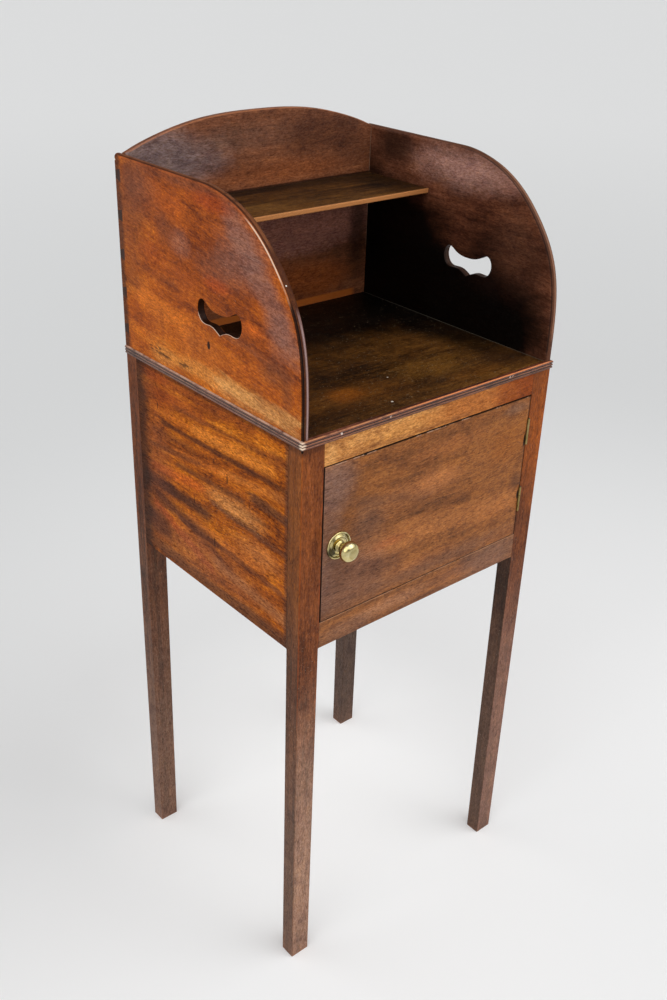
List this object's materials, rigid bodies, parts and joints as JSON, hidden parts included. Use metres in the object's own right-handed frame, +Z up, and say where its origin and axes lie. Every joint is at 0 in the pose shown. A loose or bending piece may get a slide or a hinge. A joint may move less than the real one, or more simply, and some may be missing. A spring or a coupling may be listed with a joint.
{
  "type": "tray top washstand",
  "caption": "Small mahogany tray-top washstand: tall arched gallery with handle holes and a shelf, over a cupboard with a hinged door on slender tapering legs.",
  "frame": {"origin": "middle of the whole object's footprint box, on the floor", "axes": "+Z up, the door faces -Y, +X to the right seen from the front, where the hinges are"},
  "size_m": [0.3844, 0.361, 1.005],
  "materials": {
    "carcass_mahogany": "old French polish, worn",
    "gallery_mahogany": "old French polish, worn",
    "moulding_mahogany": "old French polish",
    "door_mahogany": "old French polish, worn",
    "secondary_wood": "unpolished, aged",
    "brass": "polished, lightly tarnished",
    "steel": "dull, aged"
  },
  "bodies": {
    "root": {"leg_front_left": "carcass_mahogany", "leg_front_right": "carcass_mahogany", "leg_back_left": "carcass_mahogany", "leg_back_right": "carcass_mahogany", "side_panel_left": "carcass_mahogany", "side_panel_right": "carcass_mahogany", "carcass_back": "secondary_wood", "top_rail_front": "carcass_mahogany", "bottom_rail_front": "carcass_mahogany", "cupboard_floor": "secondary_wood", "glue_blocks": "secondary_wood", "door_stop": "secondary_wood", "tray_top": "gallery_mahogany", "moulding_left": "moulding_mahogany", "moulding_front": "moulding_mahogany", "moulding_right": "moulding_mahogany", "gallery_side_left": "gallery_mahogany", "gallery_side_right": "gallery_mahogany", "gallery_back": "gallery_mahogany", "gallery_shelf": "gallery_mahogany", "gallery_dowels": "secondary_wood", "hinge_upper_frame_leaf": "brass", "hinge_lower_frame_leaf": "brass", "hinge_upper_pin": "steel", "hinge_lower_pin": "steel", "hinge_screws_frame": "steel"},
    "door": {"door_panel": "door_mahogany", "hinge_upper_door_leaf": "brass", "hinge_lower_door_leaf": "brass", "hinge_screws_door": "steel", "knob_backplate": "brass"},
    "latch": {"knob": "brass", "latch_spindle": "steel", "latch_washer": "steel", "latch_tongue": "steel", "latch_rivet": "steel"}
  },
  "joints": [
    {"name": "door_hinge", "type": "hinge", "parent": "root", "child": "door", "pos_m": [0.16115, -0.15525, 0.6195], "axis": [0, 0, 1], "range_deg": [0, 170]},
    {"name": "latch_turn", "type": "hinge", "parent": "door", "child": "latch", "pos_m": [-0.1378, -0.1545, 0.6134], "axis": [0, 1, 0], "range_deg": [0, 90]}
  ]
}
